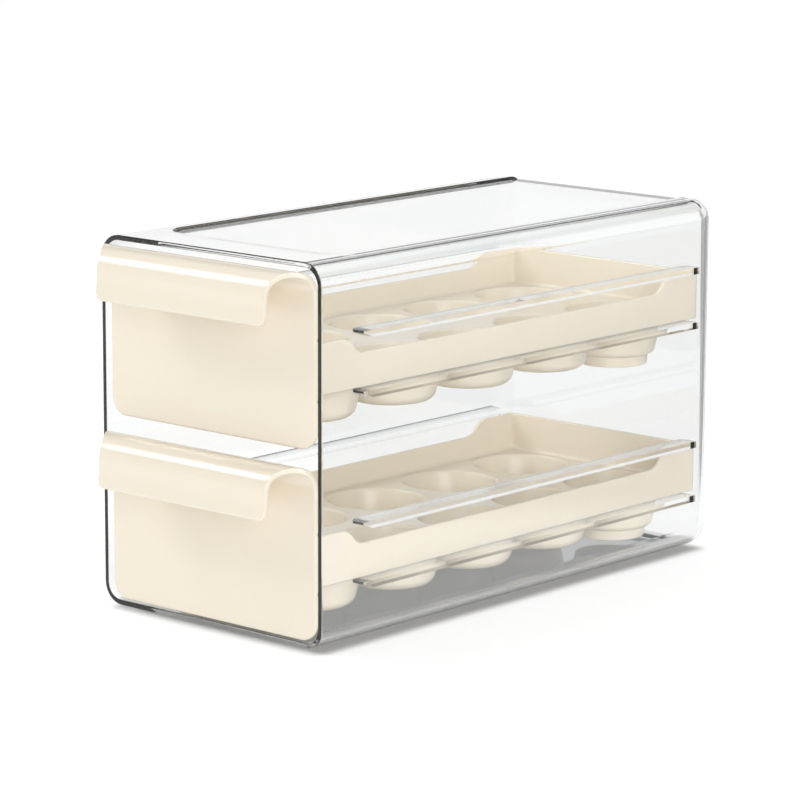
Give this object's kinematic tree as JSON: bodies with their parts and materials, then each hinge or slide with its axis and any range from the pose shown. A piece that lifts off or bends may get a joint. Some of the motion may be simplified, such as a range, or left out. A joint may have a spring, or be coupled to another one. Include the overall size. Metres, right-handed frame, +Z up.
{
  "type": "egg storage box",
  "caption": "Clear stackable kitchen box, open at the front, with sliding drawers whose trays hold eggs in round cups and whose fronts roll over into a curled pull.",
  "frame": {"origin": "middle of the whole box's footprint, pulls included, on the table under the stacking foot", "axes": "+Z up, -Y towards the front with the drawer pulls, +Y towards the closed back, +X to the right seen from the front"},
  "size_m": [0.1264, 0.2814, 0.1622],
  "materials": {
    "clear_case": "clear, glossy moulded plastic",
    "cream_drawer": "cream, glossy moulded plastic"
  },
  "bodies": {
    "case": {"outer_case": "clear_case"},
    "upper_drawer": {"upper_front": "cream_drawer", "upper_tray": "cream_drawer"},
    "lower_drawer": {"lower_front": "cream_drawer", "lower_tray": "cream_drawer"}
  },
  "joints": [
    {"name": "upper_drawer_slide", "type": "slide", "parent": "case", "child": "upper_drawer", "axis": [0, -1, 0], "range_m": [0, 0.2]},
    {"name": "lower_drawer_slide", "type": "slide", "parent": "case", "child": "lower_drawer", "axis": [0, -1, 0], "range_m": [0, 0.2]}
  ]
}
